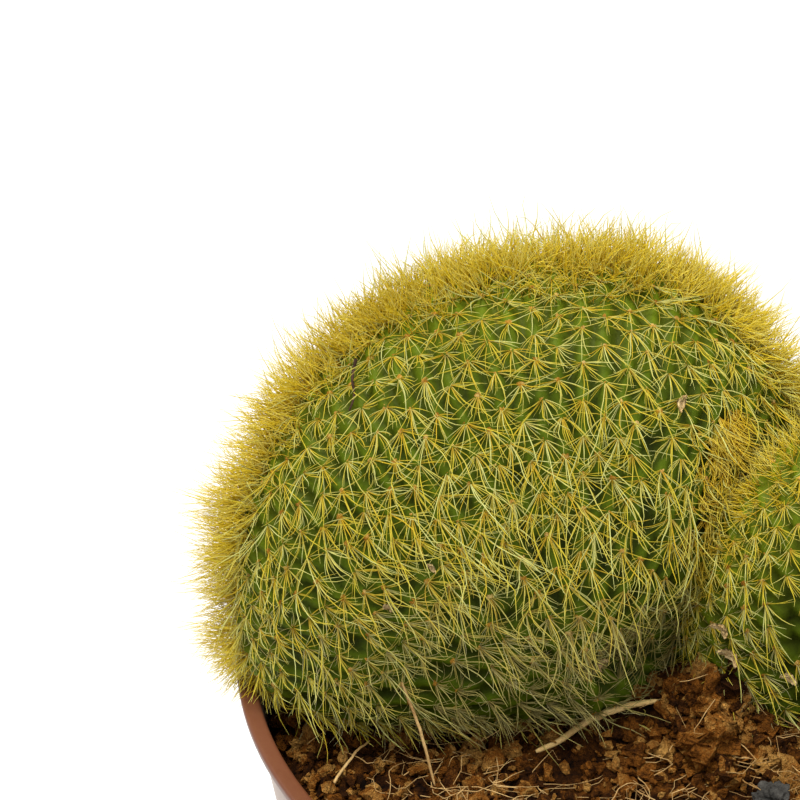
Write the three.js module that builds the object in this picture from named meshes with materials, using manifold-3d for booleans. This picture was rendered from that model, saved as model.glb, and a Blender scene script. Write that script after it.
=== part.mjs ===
// A crested golden ball cactus in a plastic nursery pot. Millimetres, +Z up.
// The origin is the centre of the pot's base. The front is -Y and +X is to the right.
import * as THREE from 'three';
import { mergeVertices } from 'three/addons/utils/BufferGeometryUtils.js';
import Module from 'manifold-3d';

const wasm = await Module();
wasm.setup();

// The pot: a 170 mm nursery pot with a thickened lip.
const POT_HEIGHT = 130;
const RIM_RADIUS = 85;
const BASE_RADIUS = 61.5;
const LIP_WIDTH = 3.2;
const LIP_HEIGHT = 11;
const LIP_OVERHANG = 1.8;
const LIP_BEVEL = 0.5;
const FOOT_BEVEL = 1;
const WALL = 1.4;
const FLOOR = 2;
const POT_SIDES = 60;
const DRAIN_COUNT = 8;
const DRAIN_RADIUS = 5;
const DRAIN_CIRCLE = 47;

// The soil: crumbly, lower at the wall, higher in the middle, and heaped up before the plant.
const SOIL_EDGE_DROP = 9;
const SOIL_RISE = 4.5;
const SOIL_SIDES = 48;
const SOIL_RINGS = 12;
const CRUMB_HEIGHT = 0.9;
const HEAP = { x: -2, y: -22, wide: 22, deep: 10, height: 6 };
const CLOD_COUNT = 16;
const CLOD_RADIUS = 3.4;
const CLOD_SUNK = 0.4;
const GAP = 0.3;
const WALL_GAP = 0.5;

// The plant: three fans that grew as one. Every fan stands on its lower edge. Its growing edge runs
// over the top, its ribs run from there down both flanks, and its middle plane holds the fan.
const LOBE_BOTTOM = 12;
const BOTTOM_BULGE = 1.6;
const LOBE_LIFT = 4;
const LOBES = [
  { x: -26.8, y: 6.6, left: 56, right: 42, up: 68, thick: 32, bulge: 2.2, yaw: 0, lean: 0, ribs: 32 },
  { x: 36, y: -5, left: 46, right: 46, up: 62, thick: 20, bulge: 2.4, yaw: 8, lean: 11, ribs: 26 },
  { x: 43, y: 17, left: 41, right: 41, up: 48, thick: 21, bulge: 2.1, yaw: -6, lean: -7, ribs: 24, lift: 3 },
];
const RIB_HEIGHT = 0.9;
const RIB_STEPS = 2;
const FLANK_STEPS = 12;
const STEM = { x: 2, y: 5, long: 44, short: 15, depth: 34, taper: 0.82 };

// The spines: clusters on the ribs, and a dense brush along the growing edge.
const NEEDLE_RADIUS = 0.36;
const NEEDLE_ROOT = 1.8;
const CLUSTER_RADIUS = 1.3;
const RADIAL_LENGTH = 6;
const CENTRAL_LENGTH = 12;
const BRUSH_LENGTH = 9.6;
const CLUSTER_SPACING = 16.5;
const BRUSH_SPACING = 4.6;
const BRUSH_ENDS = [-12, 192];
const CLEAR_OF_POT = 1.5;
const CLEAR_OF_FAN = 1.06;

// What lies on the soil: one thick pale straw and a few thin rootlets, each a list of [x, y] marks.
const STRAW_RADIUS = 0.6;
const ROOT_RADIUS = 0.35;
const LITTER = {
  straw: { radius: STRAW_RADIUS, marks: [[-33, -34], [-27, -29], [-20, -26.5], [-13, -25]] },
  rootlet_left: { radius: ROOT_RADIUS, marks: [[-62, -20], [-66, -26], [-69, -32], [-70.5, -37]] },
  rootlet_middle: { radius: ROOT_RADIUS, marks: [[-56, -31], [-54, -37], [-52, -44], [-50, -49]] },
  rootlet_right: { radius: ROOT_RADIUS, marks: [[8, -36], [0, -38], [-9, -41], [-17, -48]] },
};

const DEGREE = Math.PI / 180;
const RIM_Z = POT_HEIGHT;

const PLASTIC = new THREE.MeshStandardMaterial({ name: 'plastic', color: 0x965f43, roughness: 0.42 });
const EARTH = new THREE.MeshStandardMaterial({ name: 'earth', color: 0x5e3a1c, roughness: 1 });
const FLESH = new THREE.MeshStandardMaterial({ name: 'flesh', color: 0x7f9a35, roughness: 0.6 });
const FIBRE = new THREE.MeshStandardMaterial({ name: 'fibre', color: 0xb99a63, roughness: 0.9 });

// ---- Helpers: seeded numbers, and closed meshes in and out of the joining library ----

function seeded(seed) {
  let state = seed;
  return () => {
    state = (state + 0x6d2b79f5) | 0;
    let mixed = Math.imul(state ^ (state >>> 15), 1 | state);
    mixed = (mixed + Math.imul(mixed ^ (mixed >>> 7), 61 | mixed)) ^ mixed;
    return ((mixed ^ (mixed >>> 14)) >>> 0) / 4294967296;
  };
}

function solidOf(geometry) {
  const bare = geometry.clone();
  bare.deleteAttribute('normal');
  bare.deleteAttribute('uv');
  const merged = mergeVertices(bare, 1e-4);
  const vertProperties = Float32Array.from(merged.attributes.position.array);
  const triVerts = Uint32Array.from(merged.index.array);
  return new wasm.Manifold(new wasm.Mesh({ numProp: 3, vertProperties, triVerts }));
}

function geometryOf(solid) {
  const mesh = solid.getMesh();
  const geometry = new THREE.BufferGeometry();
  geometry.setAttribute('position', new THREE.BufferAttribute(mesh.vertProperties, mesh.numProp));
  geometry.setIndex(new THREE.BufferAttribute(mesh.triVerts, 1));
  geometry.computeVertexNormals();
  return geometry;
}

function joined(solids) {
  return wasm.Manifold.union(solids);
}

function largest(solid) {
  return solid.decompose().reduce((best, body) => (body.volume() > best.volume() ? body : best));
}

function meshOf(name, solid, material) {
  const mesh = new THREE.Mesh(geometryOf(solid), material);
  mesh.name = name;
  return mesh;
}

// A lathe turns its profile round Y, so it is stood up to turn round Z.
function turned(profile, sides) {
  const points = profile.map(([radius, height]) => new THREE.Vector2(radius, height));
  return new THREE.LatheGeometry(points, sides).rotateX(Math.PI / 2);
}

// ---- The pot ----

function wallRadius(height) {
  const top = RIM_RADIUS - LIP_OVERHANG;
  return BASE_RADIUS + ((top - BASE_RADIUS) * height) / POT_HEIGHT;
}

function potProfile() {
  const lipFoot = POT_HEIGHT - LIP_HEIGHT;
  return [
    [0, 0],
    [BASE_RADIUS - FOOT_BEVEL, 0],
    [wallRadius(FOOT_BEVEL), FOOT_BEVEL],
    [wallRadius(lipFoot), lipFoot],
    [RIM_RADIUS - LIP_BEVEL, lipFoot + LIP_BEVEL],
    [RIM_RADIUS, POT_HEIGHT - LIP_BEVEL],
    [RIM_RADIUS - LIP_BEVEL, POT_HEIGHT],
    [RIM_RADIUS - LIP_WIDTH + LIP_BEVEL, POT_HEIGHT],
    [RIM_RADIUS - LIP_WIDTH, POT_HEIGHT - LIP_BEVEL],
    [wallRadius(FLOOR) - WALL, FLOOR],
    [0, FLOOR],
  ];
}

function drainHole(index) {
  const angle = (index / DRAIN_COUNT) * 2 * Math.PI;
  const hole = new THREE.CylinderGeometry(DRAIN_RADIUS, DRAIN_RADIUS, 4 * FLOOR, 12);
  hole.rotateX(Math.PI / 2);
  hole.translate(DRAIN_CIRCLE * Math.cos(angle), DRAIN_CIRCLE * Math.sin(angle), 0);
  return solidOf(hole);
}

function makePot() {
  let pot = solidOf(turned(potProfile(), POT_SIDES));
  for (let index = 0; index < DRAIN_COUNT; index++) {
    pot = pot.subtract(drainHole(index));
  }
  return pot;
}

// The radius of the pot's inside at a height.
function insideRadius(height) {
  const foot = wallRadius(FLOOR) - WALL;
  const rise = (height - FLOOR) / (POT_HEIGHT - LIP_BEVEL - FLOOR);
  return foot + (RIM_RADIUS - LIP_WIDTH - foot) * rise;
}

// ---- The fans of the plant ----

function outlineRadius(lobe, angle) {
  const across = Math.cos(angle) < 0 ? lobe.left : lobe.right;
  const tall = Math.sin(angle) < 0 ? LOBE_BOTTOM : lobe.up;
  const bulge = Math.sin(angle) < 0 ? BOTTOM_BULGE : lobe.bulge;
  const a = Math.abs(Math.cos(angle) / across) ** bulge;
  const b = Math.abs(Math.sin(angle) / tall) ** bulge;
  return (a + b) ** (-1 / bulge);
}

// Marks along the growing edge at even arc lengths, so that all ribs of a fan are equally wide.
function evenAngles(lobe, count) {
  const fine = 1440;
  const lengths = [0];
  let last = new THREE.Vector2(outlineRadius(lobe, 0), 0);
  for (let step = 1; step <= fine; step++) {
    const angle = (step / fine) * 2 * Math.PI;
    const radius = outlineRadius(lobe, angle);
    const here = new THREE.Vector2(radius * Math.cos(angle), radius * Math.sin(angle));
    lengths.push(lengths[step - 1] + here.distanceTo(last));
    last = here;
  }
  const angles = [];
  let step = 0;
  for (let mark = 0; mark < count; mark++) {
    while (lengths[step + 1] < (mark / count) * lengths[fine]) step++;
    angles.push((step / fine) * 2 * Math.PI);
  }
  return { angles, length: lengths[fine] };
}

function lobeFrame(lobe) {
  const turn = new THREE.Matrix4().makeRotationZ(lobe.yaw * DEGREE);
  const tip = new THREE.Matrix4().makeRotationX(lobe.lean * DEGREE);
  const height = RIM_Z + LOBE_LIFT + (lobe.lift ?? 0);
  const place = new THREE.Matrix4().makeTranslation(lobe.x, lobe.y, height);
  return place.multiply(turn).multiply(tip);
}

// A point of a fan: angle goes round the fan, and flank goes from -90 to 90 degrees, 0 at the edge.
function lobePoint(lobe, angle, flank, swell = 0) {
  const radius = (outlineRadius(lobe, angle) + swell) * Math.cos(flank);
  const sideways = (lobe.thick + swell) * Math.sin(flank);
  return new THREE.Vector3(radius * Math.cos(angle), sideways, radius * Math.sin(angle));
}

// Below 1 inside the fan, 1 on its surface.
function lobeValue(lobe, point) {
  const local = point.clone().applyMatrix4(lobe.inverse);
  const across = local.x < 0 ? lobe.left : lobe.right;
  const tall = local.z < 0 ? LOBE_BOTTOM : lobe.up;
  const bulge = local.z < 0 ? BOTTOM_BULGE : lobe.bulge;
  const edge = Math.abs(local.x / across) ** bulge + Math.abs(local.z / tall) ** bulge;
  return edge ** (2 / bulge) + (local.y / lobe.thick) ** 2;
}

// A sphere whose poles lie in the flanks, drawn out to the fan with raised ribs.
function lobeSolid(lobe, swell, ribHeight) {
  const columns = ribHeight > 0 ? lobe.ribs * RIB_STEPS : lobe.ribs;
  const { angles } = evenAngles(lobe, columns);
  const sphere = new THREE.SphereGeometry(1, columns, FLANK_STEPS);
  sphere.deleteAttribute('normal');
  sphere.deleteAttribute('uv');
  const places = sphere.attributes.position;
  for (let index = 0; index < places.count; index++) {
    const column = index % (columns + 1);
    const row = Math.floor(index / (columns + 1));
    const flank = Math.PI / 2 - (row / FLANK_STEPS) * Math.PI;
    const relief = column % RIB_STEPS === 0 ? ribHeight : -ribHeight;
    const fade = Math.cos(flank) ** 0.5;
    const angle = angles[(2 * columns - column) % columns];
    const point = lobePoint(lobe, angle, flank, swell + relief * fade);
    places.setXYZ(index, point.x, point.y, point.z);
  }
  return solidOf(sphere.applyMatrix4(lobe.frame));
}

function stemSolid(swell) {
  const stem = new THREE.CylinderGeometry(1, STEM.taper, STEM.depth + LOBE_LIFT + swell, 28);
  stem.rotateX(Math.PI / 2);
  stem.scale(STEM.long + swell, STEM.short + swell, 1);
  const foot = RIM_Z - SOIL_EDGE_DROP - STEM.depth - swell;
  stem.translate(STEM.x, STEM.y, foot + (STEM.depth + LOBE_LIFT + swell) / 2);
  return solidOf(stem);
}

LOBES.forEach((lobe) => {
  lobe.frame = lobeFrame(lobe);
  lobe.inverse = lobe.frame.clone().invert();
});

// ---- The soil ----

function soilHeight(x, y) {
  const share = Math.hypot(x, y) / RIM_RADIUS;
  const heap = Math.exp(-(((x - HEAP.x) / HEAP.wide) ** 2) - ((y - HEAP.y) / HEAP.deep) ** 2);
  const waveX = Math.sin(x * 0.71 + 1.3 * Math.sin(y * 0.37));
  const waveY = Math.cos(y * 0.63 + 0.9 * Math.sin(x * 0.29));
  const level = RIM_Z - SOIL_EDGE_DROP + SOIL_RISE * (1 - share * share);
  return level + HEAP.height * heap + CRUMB_HEIGHT * waveX * waveY;
}

function soilBlock() {
  const foot = FLOOR + GAP;
  const top = RIM_Z - SOIL_EDGE_DROP;
  const topRadius = insideRadius(top) - WALL_GAP;
  const profile = [[0, foot], [insideRadius(foot) - WALL_GAP, foot], [topRadius, top]];
  for (let ring = 1; ring < SOIL_RINGS; ring++) {
    profile.push([topRadius * (1 - ring / SOIL_RINGS), top]);
  }
  profile.push([0, top]);
  const block = turned(profile, SOIL_SIDES);
  const places = block.attributes.position;
  for (let index = 0; index < places.count; index++) {
    if (places.getZ(index) > top - 1) {
      places.setZ(index, soilHeight(places.getX(index), places.getY(index)));
    }
  }
  return solidOf(block);
}

// Clods of earth on the heap, sunk well into it.
function clod(random) {
  const angle = random() * 2 * Math.PI;
  const reach = Math.sqrt(random());
  const x = HEAP.x + HEAP.wide * reach * Math.cos(angle);
  const y = HEAP.y + HEAP.deep * reach * Math.sin(angle);
  const radius = CLOD_RADIUS * (0.6 + 0.4 * random());
  const lump = new THREE.IcosahedronGeometry(radius, 0);
  lump.rotateX(random() * Math.PI).rotateZ(random() * Math.PI).scale(1.2, 1, 0.8);
  lump.translate(x, y, soilHeight(x, y) + (0.5 - CLOD_SUNK) * radius);
  return solidOf(lump);
}

function litterCurve({ radius, marks }) {
  const lift = CRUMB_HEIGHT * 0.3 + radius;
  return new THREE.CatmullRomCurve3(
    marks.map(([x, y]) => new THREE.Vector3(x, y, soilHeight(x, y) + lift))
  );
}

function litterSolid(item, swell) {
  const section = new THREE.Shape();
  section.absarc(0, 0, item.radius + swell, 0, 2 * Math.PI, false);
  const extrudePath = litterCurve(item);
  return solidOf(
    new THREE.ExtrudeGeometry(section, { steps: 10, curveSegments: 3, extrudePath, bevelEnabled: false })
  );
}

function makeSoil() {
  const random = seeded(11);
  let soil = soilBlock();
  for (let index = 0; index < CLOD_COUNT; index++) {
    soil = soil.add(clod(random));
  }
  const clear = RIB_HEIGHT + 2 * GAP;
  LOBES.forEach((lobe) => {
    soil = soil.subtract(lobeSolid(lobe, clear, 0));
  });
  soil = soil.subtract(stemSolid(GAP));
  Object.values(LITTER).forEach((item) => {
    soil = soil.subtract(litterSolid(item, GAP));
  });
  return largest(soil);
}

// ---- The spines ----

// True where a spine's end would touch the soil, the pot or another fan.
function crosses(point, own) {
  const radius = Math.hypot(point.x, point.y);
  const soil = radius < RIM_RADIUS - LIP_WIDTH && point.z < soilHeight(point.x, point.y) + CLOD_RADIUS;
  const wall = radius > RIM_RADIUS - LIP_WIDTH - CLEAR_OF_POT && point.z < RIM_Z + CLEAR_OF_POT;
  const fan = LOBES.some((lobe) => lobe !== own && lobeValue(lobe, point) < CLEAR_OF_FAN);
  return soil || wall || fan;
}

function needle(root, direction, length) {
  const cone = new THREE.ConeGeometry(NEEDLE_RADIUS, length + NEEDLE_ROOT, 3);
  cone.translate(0, (length - NEEDLE_ROOT) / 2, 0);
  const turn = new THREE.Quaternion().setFromUnitVectors(new THREE.Vector3(0, 1, 0), direction);
  cone.applyQuaternion(turn).translate(root.x, root.y, root.z);
  return solidOf(cone);
}

// The place on a fan, its outward normal, and the way along the rib towards the base.
function seatOn(lobe, angle, flank) {
  const small = 0.01;
  const local = lobePoint(lobe, angle, flank);
  const side = flank < 0 ? -1 : 1;
  const down = lobePoint(lobe, angle, flank + side * small).sub(local).normalize();
  const along = lobePoint(lobe, angle + small, flank).sub(local).normalize();
  const normal = new THREE.Vector3().crossVectors(along, down).multiplyScalar(-side).normalize();
  const place = local.clone().applyMatrix4(lobe.frame);
  if (normal.dot(local) < 0) normal.negate();
  normal.transformDirection(lobe.frame);
  down.transformDirection(lobe.frame);
  return { place, normal, down, along: new THREE.Vector3().crossVectors(normal, down) };
}

function addNeedle(needles, lobe, seat, turn, lift, length) {
  const flat = seat.down.clone().multiplyScalar(Math.cos(turn)).addScaledVector(seat.along, Math.sin(turn));
  const root = seat.place.clone().addScaledVector(flat, CLUSTER_RADIUS * Math.cos(lift));
  const direction = flat.multiplyScalar(Math.cos(lift)).addScaledVector(seat.normal, Math.sin(lift));
  direction.normalize();
  const tip = root.clone().addScaledVector(direction, length);
  const middle = root.clone().addScaledVector(direction, length * 0.6);
  if (crosses(root, lobe) || crosses(middle, lobe) || crosses(tip, lobe)) return;
  needles.push(needle(root, direction, length));
}

function addCluster(needles, lobe, seat, random) {
  [-100, -45, 45, 100].forEach((turn) => {
    const length = RADIAL_LENGTH * (0.85 + 0.3 * random());
    addNeedle(needles, lobe, seat, (turn + 20 * (random() - 0.5)) * DEGREE, 24 * DEGREE, length);
  });
  const length = CENTRAL_LENGTH * (0.75 + 0.3 * random());
  addNeedle(needles, lobe, seat, 30 * (random() - 0.5) * DEGREE, 48 * DEGREE, length);
}

// Rows of clusters from the growing edge down each flank, every second row set over by half a step.
function addFlanks(needles, lobe, random) {
  const rows = Math.round(((Math.PI / 2) * (lobe.thick + lobe.up) * 0.5) / CLUSTER_SPACING);
  const { angles: crests, length } = evenAngles(lobe, lobe.ribs);
  [-1, 1].forEach((side) => {
    for (let row = 1; row <= rows; row++) {
      const flank = (row / (rows + 0.6)) * 90 * DEGREE;
      const count = Math.max(3, Math.round((length * Math.cos(flank)) / CLUSTER_SPACING));
      for (let index = 0; index < count; index++) {
        const crest = Math.round(((index + (row % 2) / 2) * lobe.ribs) / count) % lobe.ribs;
        addCluster(needles, lobe, seatOn(lobe, crests[crest], side * flank), random);
      }
    }
  });
}

function addBrush(needles, lobe, random) {
  const { length } = evenAngles(lobe, 1);
  const { angles } = evenAngles(lobe, Math.round(length / BRUSH_SPACING));
  angles.forEach((angle, index) => {
    const turn = angle > 1.5 * Math.PI ? angle / DEGREE - 360 : angle / DEGREE;
    if (turn < BRUSH_ENDS[0] || turn > BRUSH_ENDS[1]) return;
    const flank = (index % 2 ? 7 : -7) * DEGREE;
    const lift = (68 + 20 * random()) * DEGREE;
    addNeedle(needles, lobe, seatOn(lobe, angle, flank), 0, lift, BRUSH_LENGTH * (0.88 + 0.12 * random()));
  });
}

function makeCactus() {
  const random = seeded(7);
  const needles = [];
  LOBES.forEach((lobe) => {
    addFlanks(needles, lobe, random);
    addBrush(needles, lobe, random);
  });
  const body = joined([...LOBES.map((lobe) => lobeSolid(lobe, 0, RIB_HEIGHT)), stemSolid(0)]);
  return largest(joined([body, ...needles]));
}

// ---- The whole ----

const pottedCactus = new THREE.Group();
pottedCactus.add(meshOf('pot', makePot(), PLASTIC));
pottedCactus.add(meshOf('soil', makeSoil(), EARTH));
pottedCactus.add(meshOf('cactus', makeCactus(), FLESH));
Object.entries(LITTER).forEach(([name, item]) => {
  pottedCactus.add(meshOf(name, litterSolid(item, 0), FIBRE));
});

export default pottedCactus;
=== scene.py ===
# %% [markdown]
# # A crested golden ball cactus in its nursery pot
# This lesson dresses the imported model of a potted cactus. The plant is crested: it doesn't grow as
# a ball but as folded fans, with a long growing edge where the new golden spines stand like a brush.
# Lengths are in metres unless a comment says otherwise. The front of the plant looks at -Y.

# %% Load the frame
import math

import bpy
import bmesh
import numpy as np
from mathutils import Matrix, Vector, noise
from mathutils.kdtree import KDTree


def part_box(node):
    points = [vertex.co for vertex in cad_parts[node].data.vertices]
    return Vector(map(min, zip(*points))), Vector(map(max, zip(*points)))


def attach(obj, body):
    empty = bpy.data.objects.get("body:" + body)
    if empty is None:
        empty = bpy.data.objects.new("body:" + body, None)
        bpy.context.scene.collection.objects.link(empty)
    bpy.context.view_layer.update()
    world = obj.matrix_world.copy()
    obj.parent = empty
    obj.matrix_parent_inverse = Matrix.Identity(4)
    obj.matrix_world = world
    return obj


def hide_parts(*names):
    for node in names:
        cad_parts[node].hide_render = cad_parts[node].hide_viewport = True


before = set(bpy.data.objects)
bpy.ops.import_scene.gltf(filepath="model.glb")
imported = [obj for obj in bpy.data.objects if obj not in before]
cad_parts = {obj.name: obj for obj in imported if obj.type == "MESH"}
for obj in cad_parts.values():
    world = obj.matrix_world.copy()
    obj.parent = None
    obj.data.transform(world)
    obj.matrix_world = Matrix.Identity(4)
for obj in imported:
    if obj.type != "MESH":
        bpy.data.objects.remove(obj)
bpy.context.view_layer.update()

MM = 0.001
ROOT = "root"
pot_low, pot_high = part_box("pot")
RIM_Z = pot_high.z
RIM_RADIUS = pot_high.x
print("pot", [round(1000 * v) for v in (pot_high - pot_low)], "mm, rim at", round(RIM_Z, 4))

# %% [markdown]
# ## Small helpers
# Meshes here are made from plain lists of points and faces, or from Blender's edit meshes, and all
# of them keep their place in the mesh.


# %% Helpers for objects
def add_object(name, data):
    """A new object in the scene, at the origin."""
    thing = bpy.data.objects.new(name, data)
    bpy.context.scene.collection.objects.link(thing)
    return thing


def new_object(name, points, faces=()):
    """A smooth object from points and faces."""
    mesh = bpy.data.meshes.new(name)
    mesh.from_pydata([tuple(point) for point in points], [], faces)
    mesh.update()
    mesh.shade_smooth()
    return add_object(name, mesh)


def object_from(name, shape):
    """An object from an edit mesh, which is then freed."""
    mesh = bpy.data.meshes.new(name)
    shape.to_mesh(mesh)
    shape.free()
    return add_object(name, mesh)


def applied(thing):
    """Keeps what the modifiers make as the object's plain mesh and takes them off."""
    thing.update_tag()
    ready = thing.evaluated_get(bpy.context.evaluated_depsgraph_get())
    thing.data = bpy.data.meshes.new_from_object(ready)
    thing.modifiers.clear()
    print(thing.name, sum(len(face.vertices) - 2 for face in thing.data.polygons), "triangles")
    return thing


def outward(thing):
    """Turns all faces outwards."""
    shape = bmesh.new()
    shape.from_mesh(thing.data)
    bmesh.ops.recalc_face_normals(shape, faces=shape.faces)
    shape.to_mesh(thing.data)
    shape.free()


def closed_grid(columns, rows):
    """Faces of a ball: a point at each end and rows of points between."""
    ring = [(c, (c + 1) % columns) for c in range(columns)]
    last = 1 + (rows - 1) * columns
    faces = [(0, 1 + n, 1 + c) for c, n in ring]
    faces += [(base + c, base + n, base + columns + n, base + columns + c)
              for base in range(1, last, columns) for c, n in ring]
    return faces + [(last + c, last + n, last + columns) for c, n in ring]


def around(count):
    """Cosine and sine of even steps round a circle."""
    turn = np.linspace(0, math.tau, count, endpoint=False)
    return list(zip(np.cos(turn).tolist(), np.sin(turn).tolist()))


def smooth_path(marks, count):
    """A smooth line through marks (Catmull-Rom)."""
    marks = [Vector(mark) for mark in marks]
    ends = [2 * marks[0] - marks[1], *marks, 2 * marks[-1] - marks[-2]]
    path = []
    for t in np.linspace(0, len(marks) - 1.0001, count):
        i, f = int(t), t - int(t)
        a, b, c, d = ends[i:i + 4]
        path.append(0.5 * (2 * b + (c - a) * f + (2 * a - 5 * b + 4 * c - d) * f * f
                           + (3 * b - 3 * c + d - a) * f ** 3))
    return path


def tube(name, path, radii, material, sides=8):
    """A round closed tube along a path, with a radius at each of its points."""
    points, count = [], len(path)
    for index, (centre, radius) in enumerate(zip(path, radii)):
        ahead = path[min(index + 1, count - 1)] - path[max(index - 1, 0)]
        side = ahead.cross(Vector((0.1, 0.2, 1))).normalized()
        up = side.cross(ahead).normalized()
        if index == 0:
            points.append(centre)
        points += [centre + radius * (c * side + s * up) for c, s in around(sides)]
    points.append(path[-1])
    thing = new_object(name, points, closed_grid(sides, count))
    outward(thing)
    thing.data.materials.append(material)
    return thing


def unit(vectors):
    return vectors / np.maximum(np.linalg.norm(vectors, axis=-1, keepdims=True), 1e-12)


def search_tree(places):
    """A tree that finds the places nearest to a point."""
    tree = KDTree(len(places))
    for index, place in enumerate(places):
        tree.insert(place, index)
    tree.balance()
    return tree


# %% [markdown]
# Shader and geometry node trees are built in code. `put` adds one node and gives back what it puts
# out, as a `Wire`. Sums written with wires become math nodes, so a tree reads like a formula.


# %% Helpers for node trees
class Wire:
    """What a node puts out. A sum with it adds a math node, or a vector math node, to its tree."""

    def __init__(self, tree, socket):
        self.tree, self.socket = tree, socket

    def math(self, operation, a, b=0.0):
        vector = self.socket.type in ("VECTOR", "RGBA")
        kind = "ShaderNodeVectorMath" if vector else "ShaderNodeMath"
        return put(self.tree, kind, {0: a, "Scale" if operation == "SCALE" else 1: b},
                   operation=operation)

    def __add__(self, other):
        return self.math("ADD", self, other)

    def __sub__(self, other):
        return self.math("SUBTRACT", self, other)

    def __rsub__(self, other):
        return self.math("SUBTRACT", other, self)

    def __mul__(self, other):
        vector = self.socket.type in ("VECTOR", "RGBA") and not isinstance(other, tuple)
        return self.math("SCALE" if vector else "MULTIPLY", self, other)

    def __truediv__(self, other):
        return self.math("DIVIDE", self, other)

    def cos(self):
        return self.math("COSINE", self)

    def sin(self):
        return self.math("SINE", self)

    def clamped(self):
        """Keeps the last sum between 0 and 1."""
        self.socket.node.use_clamp = True
        return self


def feed(tree, socket, value):
    """Links a socket to a wire, or sets it to a plain value."""
    if isinstance(value, Wire):
        tree.links.new(value.socket, socket)
    else:
        is_color = socket.type == "RGBA" and len(value) == 3
        socket.default_value = (*value, 1) if is_color else value


def enabled(sockets, key=None):
    """The first socket in use, or the one in use that has this name or number."""
    if isinstance(key, int):
        return sockets[key]
    return next(s for s in sockets if s.enabled and key in (None, s.name))


def put(tree, kind, inputs=(), output=None, **settings):
    """Adds a node, sets its properties, feeds its inputs and gives one output as a wire."""
    node = tree.nodes.new(kind)
    for name, value in settings.items():
        setattr(node, name, value)
    for key, value in dict(inputs).items():
        feed(tree, enabled(node.inputs, key), value)
    return Wire(tree, enabled(node.outputs, output))


def add_sockets(tree, sizes):
    """One named input for each size. Gives all inputs of the tree as wires, by name."""
    for key, value in sizes.items():
        kind = "NodeSocketInt" if isinstance(value, int) else "NodeSocketFloat"
        tree.interface.new_socket(key, in_out="INPUT", socket_type=kind).default_value = value
    start = tree.nodes.new("NodeGroupInput")
    return {socket.name: Wire(tree, socket) for socket in start.outputs if socket.name}


def new_tree(name, sizes):
    """A geometry tree with a geometry socket each way and one named input for each size."""
    tree = bpy.data.node_groups.new(name, "GeometryNodeTree")
    for way in ("INPUT", "OUTPUT"):
        tree.interface.new_socket("Geometry", in_out=way, socket_type="NodeSocketGeometry")
    return tree, add_sockets(tree, sizes)


def finish_tree(tree, geometry, material, smooth=True):
    """Ends a tree in real geometry with its shading and its material."""
    real = put(tree, "GeometryNodeRealizeInstances", {"Geometry": geometry})
    shaded = put(tree, "GeometryNodeSetShadeSmooth", {"Geometry": real, "Shade Smooth": smooth})
    done = put(tree, "GeometryNodeSetMaterial", {"Geometry": shaded, "Material": material})
    feed(tree, tree.nodes.new("NodeGroupOutput").inputs[0], done)
    return tree


def grow(thing, tree, sizes):
    """Runs a tree on an object with these sizes and keeps the result as its plain mesh."""
    modifier = thing.modifiers.new("grow", "NODES")
    modifier.node_group = tree
    for item in tree.interface.items_tree:
        if item.name in sizes:
            modifier[item.identifier] = sizes[item.name]
    return applied(thing)


# %% Steps that several geometry trees share
def named(tree, name, kind="FLOAT"):
    """Reads an attribute of the geometry by its name."""
    return put(tree, "GeometryNodeInputNamedAttribute", {"Name": name}, data_type=kind)


def stored(tree, geometry, name, value):
    """Writes a number on each of the geometry's points."""
    return put(tree, "GeometryNodeStoreNamedAttribute",
               {"Geometry": geometry, "Name": name, "Value": value}, data_type="FLOAT")


def random_value(tree, low, high, seed=0, kind="FLOAT"):
    """A random number or vector for each point, between two limits."""
    return put(tree, "FunctionNodeRandomValue", {"Min": low, "Max": high, "Seed": seed},
               data_type=kind)


def facing(tree, way):
    """The turn that points a shape's Z along a vector."""
    return put(tree, "FunctionNodeAlignRotationToVector", {"Vector": way}, axis="Z")


def strewn(tree, points, shape, turn, size):
    """Real copies of a shape on points."""
    placed = put(tree, "GeometryNodeInstanceOnPoints",
                 {"Points": points, "Instance": shape, "Rotation": turn, "Scale": size})
    return put(tree, "GeometryNodeRealizeInstances", {"Geometry": placed})


def noise_vector(tree, scale, detail):
    """Noise at each point, between -0.5 and 0.5 each way."""
    place = put(tree, "GeometryNodeInputPosition")
    lumps = put(tree, "ShaderNodeTexNoise", {"Vector": place, "Scale": scale, "Detail": detail},
                output="Color")
    return lumps - (0.5, 0.5, 0.5)


def flat_ball(tree, detail, shape):
    """A ball of triangles, one metre in radius before it is flattened."""
    ball = put(tree, "GeometryNodeMeshIcoSphere", {"Radius": 1.0, "Subdivisions": detail})
    return put(tree, "GeometryNodeTransform", {"Geometry": ball, "Scale": shape})


def moved(tree, geometry, offset):
    return put(tree, "GeometryNodeSetPosition", {"Geometry": geometry, "Offset": offset})


def line(tree, start, end, count):
    """A straight line along Z with some points on it."""
    straight = put(tree, "GeometryNodeCurvePrimitiveLine",
                   {"Start": (0, 0, start), "End": (0, 0, end)})
    return put(tree, "GeometryNodeResampleCurve", {"Curve": straight, "Count": count})


def skin(tree, lines, radius):
    """A thin three-sided skin on lines."""
    ring = put(tree, "GeometryNodeCurvePrimitiveCircle", {"Resolution": 3, "Radius": 1.0})
    return put(tree, "GeometryNodeCurveToMesh",
               {"Curve": lines, "Profile Curve": ring, "Fill Caps": True, "Scale": radius})


# %% [markdown]
# ## Finishes
# Soil, fibres, wool and plastic all vary a little in tone. One shader group gives that variation as a
# mask from two sizes of noise on the object's own coordinates, and each material sets its own scale.


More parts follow.
